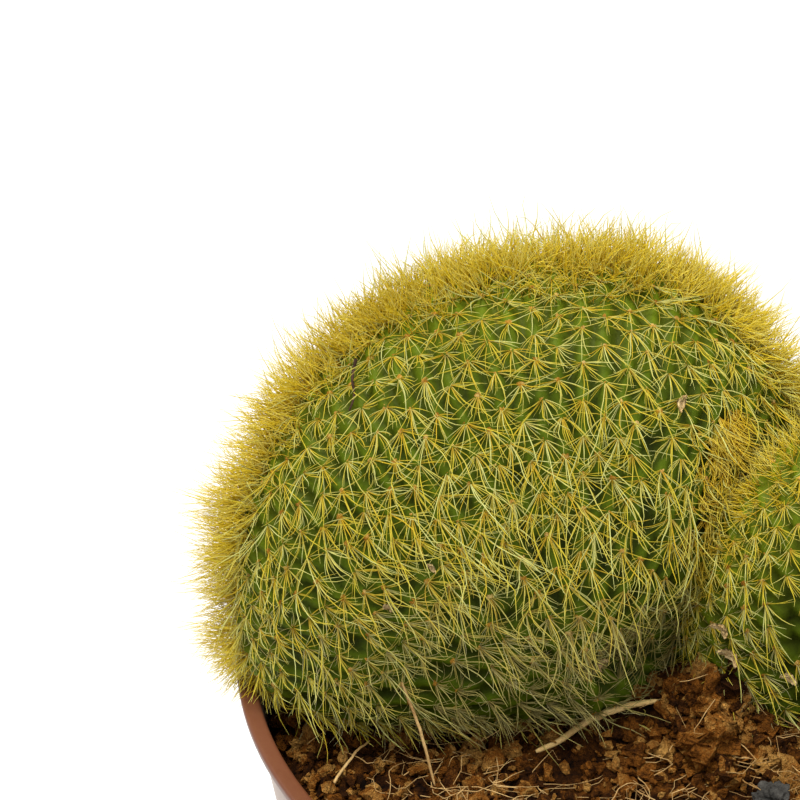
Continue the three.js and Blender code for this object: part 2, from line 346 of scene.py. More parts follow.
# %% Shared shader group
def make_mottle():
    """A group that puts out a mask from 0 to 1: coarse noise with fine noise on it."""
    group = bpy.data.node_groups.new("mottle", "ShaderNodeTree")
    given = add_sockets(group, {"Coarse": 60.0, "Fine": 600.0, "Contrast": 1.6})
    group.interface.new_socket("Mask", in_out="OUTPUT", socket_type="NodeSocketFloat")
    place = put(group, "ShaderNodeTexCoord", output="Object")
    coarse, fine = (put(group, "ShaderNodeTexNoise",
                        {"Vector": place, "Scale": given[key], "Detail": detail})
                    for key, detail in (("Coarse", 4.0), ("Fine", 3.0)))
    mask = ((coarse + fine * 0.5 - 0.75) * given["Contrast"] + 0.5).clamped()
    feed(group, group.nodes.new("NodeGroupOutput").inputs[0], mask)
    return group


MOTTLE = make_mottle()


# %% Helpers for materials
def mottle(tree, coarse, fine, contrast):
    return put(tree, "ShaderNodeGroup", {"Coarse": coarse, "Fine": fine, "Contrast": contrast},
               node_tree=MOTTLE)


def ramp(tree, factor, stops):
    """Colours along a factor, given as {position: (r, g, b)}."""
    color = put(tree, "ShaderNodeValToRGB", {"Fac": factor})
    elements = color.socket.node.color_ramp.elements
    while len(elements) < len(stops):
        elements.new(0.5)
    for element, position in zip(elements, sorted(stops)):
        element.position = position
        element.color = (*stops[position], 1)
    return color


def mix(tree, factor, a, b):
    """Mixes two colours."""
    return put(tree, "ShaderNodeMix", {"Factor": factor, "A": a, "B": b}, data_type="RGBA")


def attribute(tree, name):
    return put(tree, "ShaderNodeAttribute", output="Fac", attribute_name=name)


def new_material(name, roughness, specular):
    """A material whose shader's constant values are set on its own sockets."""
    material = bpy.data.materials.new(name)
    material.use_nodes = True
    shader = material.node_tree.nodes["Principled BSDF"]
    shader.inputs["Roughness"].default_value = roughness
    shader.inputs["Specular IOR Level"].default_value = specular
    return material, material.node_tree, shader.inputs


def bump(tree, shader, height, strength, distance):
    feed(tree, shader["Normal"], put(tree, "ShaderNodeBump", {
        "Height": height, "Strength": strength, "Distance": distance}))


def mottled_material(name, stops, tone, grain, relief, roughness, specular):
    """A finish whose colour and bump are both mottled, at the scales of `tone` and `grain`."""
    material, tree, shader = new_material(name, roughness, specular)
    feed(tree, shader["Base Color"], ramp(tree, mottle(tree, *tone), stops))
    bump(tree, shader, mottle(tree, *grain), *relief)
    return material


def dry_material(name, dark, light):
    return mottled_material(name, {0.0: dark, 1.0: light}, (500.0, 3000.0, 2.0),
                            (1500.0, 6000.0, 1.5), (0.6, 0.3 * MM), 0.85, 0.15)


# %% [markdown]
# ## Camera, floor and light
# The photograph looks down at the plant at 33 degrees, from the front and from half a metre, and
# crops it: the middle of the picture is a point left of the pot's middle, in the crest. The angle and
# distance are those at which the rim's ellipse and the crest's outline both fit the photograph.
# The floor is pale and wide, and the light is soft.

# %% Camera
LOOK_AT = Vector((-56.3, 6.6, 46.4)) * MM + Vector((0, 0, RIM_Z))
LOOK_DOWN = math.radians(33)
CAMERA_DISTANCE = 0.5
SEEN_WIDTH = 134.7 * MM


def add_camera():
    """A camera that looks along +Y and down, with the picture's middle at LOOK_AT."""
    data = bpy.data.cameras.new("camera")
    data.lens = data.sensor_width * CAMERA_DISTANCE / SEEN_WIDTH
    data.clip_start = 0.05
    camera = add_object("camera", data)
    away = Vector((0, -math.cos(LOOK_DOWN), math.sin(LOOK_DOWN)))
    camera.location = LOOK_AT + CAMERA_DISTANCE * away
    camera.rotation_euler = (math.pi / 2 - LOOK_DOWN, 0, 0)
    bpy.context.scene.camera = camera
    print("camera lens", round(data.lens), "mm")


add_camera()

# %% Floor and light
FLOOR_HALF = 3.0
FLOOR_COLOR = (0.93, 0.93, 0.925)
SKY_STRENGTH = 0.54
# Each light's place, size, watts and colour.
LIGHTS = {"key": ((-0.3, -0.2, 1.3), 0.5, 19.5, (1, 0.985, 0.95)),
          "fill": ((0.9, -0.6, 0.7), 0.8, 4.2, (0.96, 0.98, 1))}


def add_floor():
    """A wide floor, just under the pot's foot."""
    s = FLOOR_HALF
    floor = new_object("floor", [(-s, -s, 0), (s, -s, 0), (s, s, 0), (-s, s, 0)], [(0, 1, 2, 3)])
    floor.location.z = -0.5 * MM
    material, tree, shader = new_material("pale floor", 0.7, 0.2)
    feed(tree, shader["Base Color"], FLOOR_COLOR)
    floor.data.materials.append(material)


def add_light(name, place, size, watts, color):
    """A square area light that looks at the plant."""
    data = bpy.data.lights.new(name, "AREA")
    data.size = size
    data.energy = watts
    data.color = color
    light = add_object(name, data)
    light.location = place
    light.rotation_euler = (Vector((0, 0, RIM_Z)) - Vector(place)).to_track_quat("-Z", "Y").to_euler()


def add_sky():
    """Even white light from all round, which keeps the shadows soft."""
    world = bpy.data.worlds.new("studio")
    world.use_nodes = True
    sky = world.node_tree.nodes["Background"]
    sky.inputs["Color"].default_value = (1, 1, 1, 1)
    sky.inputs["Strength"].default_value = SKY_STRENGTH
    bpy.context.scene.world = world


add_floor()
add_sky()
for name, values in LIGHTS.items():
    add_light(name, *values)
bpy.context.scene.view_settings.view_transform = "Standard"

# %% [markdown]
# ## The shape of the fans
# Each fan is a flattened ball. Seen from the front it is a tall arch over a short, pinched underside,
# and its growing edge is the rim of that arch. `angle` goes round the fan, `flank` goes from the edge,
# at 0, to the middle of a flank at 90 degrees either way. The numbers are those of the solid plant,
# with two things that are finer here: the left end of the main fan is bent towards the front, and its
# underside is fuller, where it leans on the pot's rim.

# %% Measures of the fans
LOBE_LIFT = 4 * MM


def fan(x, y, left, right, up, thick, bulge, yaw, lean,
        lift=0.0, low=12, low_bulge=2.0, bend=0, slim=0):
    """One fan, given in millimetres and degrees, with the matrix that puts it in its place."""
    place = Matrix.Translation(Vector((x * MM, y * MM, RIM_Z + LOBE_LIFT + lift * MM)))
    turn = Matrix.Rotation(math.radians(yaw), 4, "Z") @ Matrix.Rotation(math.radians(lean), 4, "X")
    return {"left": left * MM, "right": right * MM, "up": up * MM, "low": low * MM,
            "thick": thick * MM, "bulge": bulge, "low_bulge": low_bulge, "bend": bend * MM,
            "slim": slim, "matrix": np.array(place @ turn)}


FANS = {
    "main": fan(-26.8, 6.2, 57, 41, 58.5, 33, 2.27, 0, 0,
                lift=10, low=24, low_bulge=3.2, bend=13, slim=0.3),
    "front": fan(36, -5, 46, 46, 58.5, 20, 2.4, 8, 11),
    "rear": fan(43, 17, 41, 41, 42, 21, 2.1, -6, -7, lift=3),
}


def outline_value(lobe, u, w):
    """1 on the fan's outline, for a point u across and w up from its middle, and the bulge there."""
    across = np.where(u < 0, lobe["left"], lobe["right"])
    tall = np.where(w < 0, lobe["low"], lobe["up"])
    bulge = np.where(w < 0, lobe["low_bulge"], lobe["bulge"])
    return np.abs(u / across) ** bulge + np.abs(w / tall) ** bulge, bulge


def outline_radius(lobe, angle):
    """How far the fan reaches from its middle in each direction."""
    value, bulge = outline_value(lobe, np.cos(angle), np.sin(angle))
    return value ** (-1 / bulge)


def even_angles(lobe, count):
    """Angles at even steps of length along the growing edge, and the edge's length."""
    fine = np.linspace(0, 2 * np.pi, 1441)
    radius = outline_radius(lobe, fine)
    steps = np.hypot(np.diff(radius * np.cos(fine)), np.diff(radius * np.sin(fine)))
    along = np.concatenate([[0], np.cumsum(steps)])
    return np.interp(np.arange(count) / count * along[-1], along, fine), along[-1]


def fan_thickness(lobe, angle):
    """Half the fan's thickness: the right end of the main fan is slimmer, so the valley is deep."""
    return lobe["thick"] * (1 - lobe["slim"] * np.maximum(0, np.cos(angle)) ** 3)


def fan_bend(lobe, across):
    """How far the fan's middle sheet is bent to the front, towards its left end."""
    return -lobe["bend"] * (np.minimum(across, 0) / lobe["left"]) ** 2


def fan_points(lobe, angle, flank):
    """Points on a fan, in the frame of the whole plant."""
    radius = outline_radius(lobe, angle) * np.cos(flank)
    across = radius * np.cos(angle)
    deep = fan_thickness(lobe, angle) * np.sin(flank) + fan_bend(lobe, across)
    local = np.stack([across, deep, radius * np.sin(angle)], -1)
    return local @ lobe["matrix"][:3, :3].T + lobe["matrix"][:3, 3]


def fan_value(lobe, points):
    """Below 1 inside the fan, 1 on its surface, more outside."""
    u, v, w = ((points - lobe["matrix"][:3, 3]) @ lobe["matrix"][:3, :3]).T
    value, bulge = outline_value(lobe, u, w)
    deep = (v - fan_bend(lobe, u)) / fan_thickness(lobe, np.arctan2(w, u))
    return value ** (2 / bulge) + deep ** 2


def outside_others(key, place, limit):
    """Which places lie outside all fans but this one."""
    return np.all([fan_value(lobe, place) > limit for other, lobe in FANS.items() if other != key], 0)


def seats(lobe, angle, flank):
    """Places on a fan with their outward normal and the way along the rib, away from the edge."""
    small = 1e-4
    side = np.where(flank < 0, -1.0, 1.0)
    place = fan_points(lobe, angle, flank)
    down = unit(fan_points(lobe, angle, flank + side * small) - place)
    along = fan_points(lobe, angle + small, flank) - place
    normal = unit(np.cross(down, along))
    normal *= np.sign(np.sum(normal * (place - lobe["matrix"][:3, 3]), -1))[:, None]
    return place, normal, down


for key, lobe in FANS.items():
    print(key, "fan: growing edge round", round(even_angles(lobe, 1)[1] * 1000), "mm")

# %% [markdown]
# ## Where the spines sit
# Spines grow from small woolly cushions that stand on the ribs. From rib to rib they are set over by
# half a step, so they form a lattice. Near the growing edge the plant is young and the lattice is
# tight. Further down it opens out. Where ribs run together some of them end, which a smallest
# distance between neighbours does here.

# %% Lattice of the cushions
RIB_WIDTH = 4.1 * MM
ROW_STEP = 2.65 * MM
FIRST_ROW = 0.8 * ROW_STEP
NEAREST = 3.4 * MM
YOUNG_REACH = 11 * MM
YOUNG_SHARE = 0.54
MEAN_REACH = 0.85  # a fan's mean reach as a share of its height
LATTICE_SHAKE = 0.006
LIP_ZONE = 8 * MM
DEEPEST = 12 * MM


def crowding(length):
    """The share of the full spacing between cushions: less near the growing edge."""
    return YOUNG_SHARE + (1 - YOUNG_SHARE) * np.minimum(1, length / (1.6 * YOUNG_REACH))


def flank_rows(lobe):
    """The rows of one flank: each one's angle, and its length down from the growing edge."""
    fine = np.linspace(0, np.pi / 2, 400)
    steps = np.hypot(np.diff(MEAN_REACH * lobe["up"] * np.cos(fine)),
                     np.diff(lobe["thick"] * np.sin(fine)))
    length = np.concatenate([[0], np.cumsum(steps)])
    marks = [FIRST_ROW]
    while marks[-1] < length[-1] - ROW_STEP:
        marks.append(marks[-1] + ROW_STEP * crowding(marks[-1]))
    return list(zip(np.interp(marks, length, fine), marks))


def cushion_lattice(key):
    """All cushions of one fan, from the edge down, outside the other fans and above the soil."""
    lobe = FANS[key]
    angles, _ = even_angles(lobe, 2 * round(even_angles(lobe, 1)[1] / RIB_WIDTH / 2))
    angle, flank, length = np.array([
        (angle, side * flank, length) for side in (-1, 1)
        for row, (flank, length) in enumerate(flank_rows(lobe)) for angle in angles[row % 2::2]]).T
    rng = np.random.default_rng(3)
    angle = angle + rng.normal(0, LATTICE_SHAKE, len(angle))
    flank = flank + rng.normal(0, LATTICE_SHAKE, len(flank))
    place, normal, down = seats(lobe, angle, flank)
    beside_lip = np.hypot(place[:, 0], place[:, 1]) > RIM_RADIUS - LIP_ZONE
    keep = place[:, 2] > np.where(beside_lip, RIM_Z + 0.5 * MM, RIM_Z - DEEPEST)
    keep &= outside_others(key, place, 1.03)
    return [part[keep] for part in (place, normal, down, length)]


def thinned(parts):
    """Drops each cushion that lies too close to one nearer to the growing edge."""
    place, length = parts[0], parts[3]
    neighbours = search_tree(place)
    kept = {}
    for index in np.argsort(length, kind="stable"):
        close = neighbours.find_range(place[index], NEAREST * crowding(length[index]))
        if not any(other in kept for _, other, _ in close):
            kept[int(index)] = True
    return [part[list(kept)] for part in parts]


CUSHIONS = {key: thinned(cushion_lattice(key)) for key in FANS}
ALL_CUSHIONS = [np.concatenate(part) for part in zip(*CUSHIONS.values())]
print("cushions", {key: len(parts[0]) for key, parts in CUSHIONS.items()})

# %% [markdown]
# ## The flesh
# A voxel remesh melts the three fans and the stem into one skin with soft valleys, as on a plant that
# grew in one piece. Then each point of the skin is raised or sunk by how it lies to the cushions
# around it: high on the line that runs down from one cushion to the next, low half way to the next
# rib, with a small dome under each cushion.

# %% Flesh
FLESH_VOXEL = 0.84 * MM
RIB_HEIGHT = 1.25 * MM
RIB_HALF = 1.35 * MM
RIB_REACH = 4.9 * MM
NEIGHBOURS = 7
DOME_RADIUS = 1.5 * MM
DOME_HEIGHT = 0.25
FURROW = 0.6  # how much of the relief lies below the smooth skin
STEM = {"x": 2 * MM, "y": 5 * MM, "long": 44 * MM, "short": 15 * MM, "foot": 34 * MM}
STEM_RINGS = [(0.9, 4 * MM), (1.0, 0.0), (0.82, -0.9 * STEM["foot"]), (0.7, -STEM["foot"])]


def fan_mesh(lobe, columns=220, rows=90):
    angle, _ = even_angles(lobe, columns)
    flank = np.linspace(-np.pi / 2, np.pi / 2, rows + 2)
    middle = fan_points(lobe, np.tile(angle, rows), np.repeat(flank[1:-1], columns))
    ends = fan_points(lobe, np.zeros(2), flank[[0, -1]])
    return np.concatenate([ends[:1], middle, ends[1:]]), closed_grid(columns, rows)


def stem_mesh(sides=64):
    """A tapered stub that stands in the soil, with rounded ends."""
    x, y, top = STEM["x"], STEM["y"], RIM_Z - 9 * MM
    points = [(x, y, top + 4 * MM)]
    for share, height in STEM_RINGS:
        points += [(x + share * STEM["long"] * c, y + share * STEM["short"] * s, top + height)
                   for c, s in around(sides)]
    points.append((x, y, top - STEM["foot"]))
    return np.array(points), closed_grid(sides, len(STEM_RINGS))


def melted_body():
    """The fans and the stem as one skin."""
    points, faces = [], []
    for part, polygons in [fan_mesh(lobe) for lobe in FANS.values()] + [stem_mesh()]:
        start = len(points)
        points += list(part)
        faces += [tuple(start + i for i in face) for face in polygons]
    body = new_object("flesh", points, faces)
    remesh = body.modifiers.new("melt", "REMESH")
    remesh.mode = "VOXEL"
    remesh.voxel_size = FLESH_VOXEL
    soften = body.modifiers.new("soften", "SMOOTH")
    soften.factor = 0.5
    soften.iterations = 6
    return applied(body)


def rib_relief(body):
    """Raises the skin at the cushions and sinks it between them. Keeps the height as a value."""
    mesh = body.data
    place, normal, down, length = ALL_CUSHIONS
    across = unit(np.cross(normal, down))
    points, normals = np.zeros((2, 3 * len(mesh.vertices)))
    mesh.vertices.foreach_get("co", points)
    mesh.vertices.foreach_get("normal", normals)
    points, normals = points.reshape(-1, 3), normals.reshape(-1, 3)
    cushions = search_tree(place)
    near = np.array([[i for _, i, _ in cushions.find_n(point, NEIGHBOURS)] for point in points])
    offset = points[:, None, :] - place[near]
    along, aside, out = (np.sum(offset * way[near], -1) for way in (down, across, normal))
    rib = np.exp(-(aside / RIB_HALF) ** 2 - (out / (2 * RIB_HALF)) ** 2)
    rib = np.max(rib * np.clip(1 - (along / RIB_REACH) ** 4, 0, 1), -1)
    dome = np.exp(-np.sum(offset[:, 0] ** 2, -1) / DOME_RADIUS ** 2)
    height = rib + DOME_HEIGHT * dome - FURROW
    mesh.vertices.foreach_set("co", (points + normals * (RIB_HEIGHT * height)[:, None]).ravel())
    young = 1 - np.clip(length[near[:, 0]] / YOUNG_REACH / 2, 0, 1)
    for name, values in (("crest", np.clip(height + FURROW, 0, 1)), ("young", young)):
        mesh.attributes.new(name, "FLOAT", "POINT").data.foreach_set(
            "value", values.astype(np.float32))
    mesh.update()
    mesh.shade_smooth()


flesh = melted_body()
rib_relief(flesh)

# %% [markdown]
# ## Materials of the plant
# The flesh is a fresh yellow-green on the ribs and deep green in the furrows, where the deep green is
# painted shade; it is paler and yellower near the growing edge, with a faint waxy shine. The spines
# are
# golden: browner at the root and paler at the tip, from mustard on young spines to straw and
# grey-white on old ones, and old spines low on the plant are painted darker as shade. The cushions are
# tan wool.

# %% Flesh, spine and wool materials
# The colour of old spines low on the plant: partly their own greyer brown, partly painted shade.
OLD_AND_SHADED_SPINE = (0.25, 0.205, 0.075)


def flesh_material():
    material, tree, shader = new_material("cactus flesh", 0.55, 0.08)
    # Darker towards the furrows: painted shade in the creases between the ribs.
    base = ramp(tree, attribute(tree, "crest"), {
        0.0: (0.006, 0.0085, 0.0003), 0.45: (0.027, 0.042, 0.0012), 1.0: (0.088, 0.135, 0.004)})
    fresh = mix(tree, attribute(tree, "young") * 0.45, base, (0.22, 0.27, 0.01))
    spotted = mix(tree, mottle(tree, 130.0, 1500.0, 2.2), fresh, (0.05, 0.068, 0.002))
    feed(tree, shader["Base Color"], mix(tree, 0.45, fresh, spotted))
    shader["Subsurface Weight"].default_value = 0.05
    shader["Subsurface Radius"].default_value = (0.0012, 0.002, 0.0005)
    shader["Subsurface Scale"].default_value = 1.0
    bump(tree, shader, mottle(tree, 400.0, 2500.0, 1.2), 0.25, 0.4 * MM)
    return material


def spine_material(name, root, middle, tip, pale, warm, age_and_shade=0.85):
    """Colour along each spine, some spines paler and some warmer, and greyer with age, darker low on
    the plant as painted shade.
    """
    material, tree, shader = new_material(name, 0.5, 0.18)
    tone = attribute(tree, "tone")
    color = ramp(tree, attribute(tree, "along"), {0.0: root, 0.35: middle, 0.75: middle, 1.0: tip})
    paler = ((tone - 0.45) * 1.7).clamped()
    warmer = ((0.16 - tone) * 5.0).clamped()
    varied = mix(tree, warmer, mix(tree, paler, color, pale), warm)
    # Old spines low on the plant turn darker: partly age, partly painted shade.
    feed(tree, shader["Base Color"], mix(tree, attribute(tree, "old") * age_and_shade, varied, OLD_AND_SHADED_SPINE))
    return material


SPINE_MATERIAL = spine_material("golden spines", (0.44, 0.24, 0.016), (0.52, 0.42, 0.03),
                                (0.66, 0.61, 0.15), (0.54, 0.56, 0.2), (0.56, 0.33, 0.012))
BRUSH_MATERIAL = spine_material("brush spines", (0.42, 0.21, 0.006), (0.7, 0.52, 0.02),
                                (0.86, 0.74, 0.17), (0.76, 0.65, 0.14), (0.6, 0.38, 0.012))
HAIR_MATERIAL = spine_material("pale hairs", (0.3, 0.22, 0.06), (0.4, 0.34, 0.12),
                               (0.5, 0.45, 0.2), (0.5, 0.46, 0.23), (0.3, 0.19, 0.06), age_and_shade=0.25)
TUFT_MATERIAL = spine_material("ochre tuft", (0.36, 0.18, 0.01), (0.62, 0.42, 0.02),
                               (0.74, 0.57, 0.08), (0.66, 0.54, 0.1), (0.46, 0.24, 0.01))
WOOL_MATERIAL = mottled_material(
    "cushion wool", {0.0: (0.28, 0.11, 0.01), 0.5: (0.5, 0.26, 0.035), 1.0: (0.7, 0.5, 0.17)},
    (900.0, 5000.0, 2.5), (3000.0, 9000.0, 2.0), (0.8, 0.3 * MM), 0.95, 0.1)
flesh.data.materials.append(flesh_material())

# %% [markdown]
# ## Spines
# One geometry tree grows every spine. It starts from bare points that carry their outward normal and
# the way down the rib. Each point is repeated, each copy is turned round the normal and lifted off
# the flesh, a line stands on it and is bent, and the line gets a thin three-sided skin that tapers.


# %% Tree for the spines
SPINE_INPUTS = ("Count", "Turn", "Turn Jitter", "Lift Low", "Lift High", "Length Low",
                "Length High", "Bend", "Wild", "Thickness", "Steps", "Seed")
# The inputs for each kind, with angles in radians, and lengths and thickness in millimetres.
SPINE_KINDS = {
    "side_front": (13, 2.9, 0.5, 0.2, 0.85, 3.4, 6.9, 0.45, 0.9, 0.095, 5, 10),
    "side_back": (7, 2.9, 0.5, 0.2, 0.85, 3.4, 6.9, 0.45, 0.9, 0.095, 4, 10),
    "long": (3, 1.6, 0.6, 0.45, 1.0, 6.5, 11.5, 0.55, 0.8, 0.12, 6, 20),
    "hairs": (4, 3.4, 0.8, 0.3, 1.3, 3, 7, 0.9, 2.4, 0.055, 7, 50),
    "brush": (1, 0.0, 3.1, 0.8, 1.5, 5.8, 9.8, 0.25, 0.7, 0.085, 4, 31),
    "tuft": (1, 0.0, 0.9, 0.1, 0.9, 3, 6.5, 0.5, 1.5, 0.11, 7, 41),
}


def spine_sizes(kind):
    """The spine tree's inputs for one kind of spine."""
    sizes = dict(zip(SPINE_INPUTS, SPINE_KINDS[kind]))
    return {key: value * MM if key.startswith(("Length", "Thick")) else value
            for key, value in sizes.items()}


def spine_tree(name, material):
    tree, given = new_tree(name, spine_sizes("side_front"))
    seed = given["Seed"]
    copies = put(tree, "GeometryNodeDuplicateElements",
                 {"Geometry": given["Geometry"], "Amount": given["Count"]}, domain="POINT")
    index = Wire(tree, copies.socket.node.outputs["Duplicate Index"])
    spread = ((index + 0.5) / given["Count"] - 0.5) * given["Turn"]
    turn = spread + random_value(tree, -1.0, 1.0, seed) * given["Turn Jitter"]
    lift = random_value(tree, given["Lift Low"], given["Lift High"], seed + 1.0)
    length = random_value(tree, given["Length Low"], given["Length High"], seed + 2.0)
    long = length * named(tree, "size")
    normal, down = (named(tree, key, "FLOAT_VECTOR") for key in ("out", "down"))
    side = normal.math("CROSS_PRODUCT", normal, down)
    way = (down * turn.cos() + side * turn.sin()) * lift.cos() + normal * lift.sin()
    points = stored(tree, copies, "tone", random_value(tree, 0.0, 1.0, seed + 3.0))
    points = stored(tree, points, "long", long)
    points = stored(tree, points, "curl", random_value(tree, -0.5, 1.0, seed + 4.0))
    lines = strewn(tree, points, line(tree, 0, 1, given["Steps"]), facing(tree, way), long)
    along = put(tree, "GeometryNodeSplineParameter", output="Factor")
    squared = along * along
    reach = squared * named(tree, "long")
    sag = normal * (reach * given["Bend"] * named(tree, "curl") * -1.0)
    stray = noise_vector(tree, 120.0, 0.0) * (reach * given["Wild"])
    bent = stored(tree, moved(tree, lines, sag + stray), "along", along)
    radius = (1.0 - squared * 0.8) * given["Thickness"]
    return finish_tree(tree, skin(tree, bent, radius), material)


SPINES = spine_tree("spines", SPINE_MATERIAL)
BRUSH = spine_tree("brush", BRUSH_MATERIAL)
HAIRS = spine_tree("hairs", HAIR_MATERIAL)
TUFT = spine_tree("tuft", TUFT_MATERIAL)


def points_object(name, place, normal, down, size, old=None):
    """An object of bare points that carry what the spine tree and its material read."""
    old = np.zeros(len(size)) if old is None else old
    thing = new_object(name, place)
    for key, values, kind in (("out", normal, "FLOAT_VECTOR"), ("down", down, "FLOAT_VECTOR"),
                              ("old", old, "FLOAT"), ("size", size, "FLOAT")):
        data = thing.data.attributes.new(key, kind, "POINT").data
        data.foreach_set("value" if kind == "FLOAT" else "vector",
                         np.asarray(values, np.float32).ravel())
    return thing


def down_the_flesh(way, normal):
    """The part of a direction that lies along the flesh."""
    return unit(way - normal * np.sum(way * normal, -1)[:, None])


# %% [markdown]
# Each cushion carries a fan of thin side spines that point down and sideways, close to the flesh, and
# a few longer, stronger, golden ones that stand off it and hang over a little at their ends. Low on
# the front the spines are older and greyer, and their colour there is painted darker as shade; they
# sweep to the right together, and curly pale hairs stand between them.

# %% Side spines, central spines and cushions
CUSHION_LIFT = 0.35 * MM
LOW_TOP = RIM_Z + 34 * MM
LOW_DEEP = 28 * MM
LOW_SHORTER = 0.25
YOUNG_SIZE, OLD_EXTRA = 0.88, 0.2
SWEEP = 0.9
SWEEP_WAY = np.array([1.0, 0, -0.25])
SWEEP_TO = -14 * MM
SPINE_SCALE = {"main": 1.0, "front": 0.78, "rear": 0.85}
HAIRY_BELOW = 26 * MM
PIECES = []


def spine_points(name, parts, scale=1.0):
    """The cushions as points for the spine tree: further down, spines are longer, low ones older and
    painted darker as shade.
    """
    place, normal, down, length = parts
    low = np.clip((LOW_TOP - place[:, 2]) / LOW_DEEP, 0, 1)
    size = YOUNG_SIZE + OLD_EXTRA * np.clip(length / (2.5 * YOUNG_REACH), 0, 1)
    # How old a cushion is, rising low on the plant, where it also darkens the spines as painted shade.
    old = np.clip((length - 2 * YOUNG_REACH) / (2 * YOUNG_REACH), 0, 1) * low ** 0.5
    sweep = SWEEP * low * (place[:, 0] < SWEEP_TO) * (normal[:, 1] < 0)
    swept = down_the_flesh(down + sweep[:, None] * SWEEP_WAY, normal)
    return points_object(name, place + normal * CUSHION_LIFT, normal, swept,
                         size * (1 - LOW_SHORTER * low) * scale, old)


for key, parts in CUSHIONS.items():
    is_front = parts[1][:, 1] < 0
    for face, chosen in (("front", is_front), ("back", ~is_front)):
        half = [part[chosen] for part in parts]
        for name, kind in (("side_spines", "side_" + face), ("long_spines", "long")):
            spines = spine_points(f"{name}_{key}_{face}", half, SPINE_SCALE[key])
            PIECES.append(grow(spines, SPINES, spine_sizes(kind)))

for key, parts in CUSHIONS.items():
    is_hairy = (parts[0][:, 2] < RIM_Z + HAIRY_BELOW) & (parts[1][:, 1] < 0)
    hairs = spine_points(f"pale_hairs_{key}", [part[is_hairy] for part in parts])
    PIECES.append(grow(hairs, HAIRS, spine_sizes("hairs")))


# %% Wool of the cushions
def wool_tree():
    """A flat lumpy ball on each cushion."""
    tree, given = new_tree("wool", {"Radius": 0.0006, "Rough": 0.0003, "Seed": 1})
    size = given["Radius"] * random_value(tree, 0.75, 1.25, given["Seed"])
    turn = facing(tree, named(tree, "out", "FLOAT_VECTOR"))
    balls = strewn(tree, given["Geometry"], flat_ball(tree, 2, (1, 1, 0.7)), turn, size)
    lumpy = moved(tree, balls, noise_vector(tree, 1800.0, 1.0) * given["Rough"])
    return finish_tree(tree, lumpy, WOOL_MATERIAL)


wool = spine_points("wool_cushions", ALL_CUSHIONS)
PIECES.append(grow(wool, wool_tree(), {"Radius": 0.56 * MM, "Rough": 0.6 * MM, "Seed": 5}))

# %% [markdown]
# ## The brush on the growing edge
# Along the growing edge the cushions are so young and close that their spines stand as one dense
# golden brush. It needs thousands of fine spines, so they start from clumps in a band along the
# edge, denser in its middle, and the spines of a clump spread out from it.

# %% Brush
BRUSH_BAND = 7 * MM
BRUSH_ENDS = (math.radians(-20), math.radians(214))
EDGE_MARKS = 4000
CLUMP_RADIUS = 0.8 * MM
CLUMP_SIZES = (0.8, 1.15)
SIDE_SHORTER = 0.35
END_DEGREES = [10, 50, 105, 150]
# Clumps for each millimetre of edge, spines in each, and their length: overall and at the two ends.
BRUSHES = {
    "main": {"clumps": 7.8, "spines": 5, "long": 1.0, "right": 0.62, "left": 1.18},
    "front": {"clumps": 5.2, "spines": 4, "long": 0.75, "right": 1.0, "left": 0.5},
    "rear": {"clumps": 5.0, "spines": 4, "long": 0.8, "right": 1.0, "left": 0.8},
}


def clumped(lobe, angle, flank, spines, rng):
    """Repeats places on a fan as clumps of spines that spread out. Gives place, normal and down."""
    place, normal, down = (np.repeat(part, spines, axis=0) for part in seats(lobe, angle, flank))
    a, b = rng.normal(0, 0.5, (2, len(place), 1))
    spread = a * down + b * unit(np.cross(normal, down))
    return place + CLUMP_RADIUS * spread, unit(normal + 0.3 * spread), down


def brush_points(key):
    """Clumps along a fan's growing edge, shorter towards the sides of the band."""
    lobe, brush = FANS[key], BRUSHES[key]
    rng = np.random.default_rng(17)
    angles, length = even_angles(lobe, EDGE_MARKS)
    angles = np.where(angles > 1.5 * np.pi, angles - 2 * np.pi, angles)
    angles = angles[(angles > BRUSH_ENDS[0]) & (angles < BRUSH_ENDS[1])]
    count = int(length / MM * len(angles) / EDGE_MARKS * brush["clumps"])
    away = np.clip(rng.normal(0, 0.5, count), -1.4, 1.4) * BRUSH_BAND
    angle = rng.choice(angles, count)
    place, normal, down = clumped(lobe, angle, away / lobe["thick"], brush["spines"], rng)
    ends = np.interp(np.degrees(angle), END_DEGREES, [brush["right"], 1, 1, brush["left"]])
    size = np.repeat(rng.uniform(*CLUMP_SIZES, count) * ends, brush["spines"])
    away = np.abs(np.repeat(away, brush["spines"])) / BRUSH_BAND
    size = (1.0 - SIDE_SHORTER * away) * size * brush["long"]
    keep = outside_others(key, place, 1.0) & (place[:, 2] > RIM_Z + 0.5 * MM)
    return [part[keep] for part in (place, normal, down, size)]


for key in FANS:
    brush = points_object(f"brush_{key}", *brush_points(key))
    PIECES.append(grow(brush, BRUSH, spine_sizes("brush")))

# %% [markdown]
# ## The ochre tuft in the valley
# Where the main fan and the right one fold together, their growing edges meet in a clump of short,
# curly, ochre hair that hangs down the valley. Its marks lie on the main fan's front, in millimetres
# across from the pot's middle and up from the rim.

# %% Tuft
TUFT_LINE = [(-3.2, 53.5), (-4.6, 49.5), (-5.7, 44.0), (-6.6, 37.0), (-7.6, 27.0)]
TUFT_CLUMPS = 64
TUFT_SPINES = 9
TUFT_HALF = 2.3 * MM
TUFT_WAY = [-0.12, -0.2, -1.0]


def front_seats(lobe, x, height):
    """Angle and flank of the places on a fan's front that lie at x and at a height over the rim."""
    u = x - lobe["matrix"][0, 3]
    w = RIM_Z + height - lobe["matrix"][2, 3]
    angle = np.arctan2(w, u)
    share = np.hypot(u, w) / outline_radius(lobe, angle)
    return angle, -np.arccos(np.clip(share, 0, 0.999))


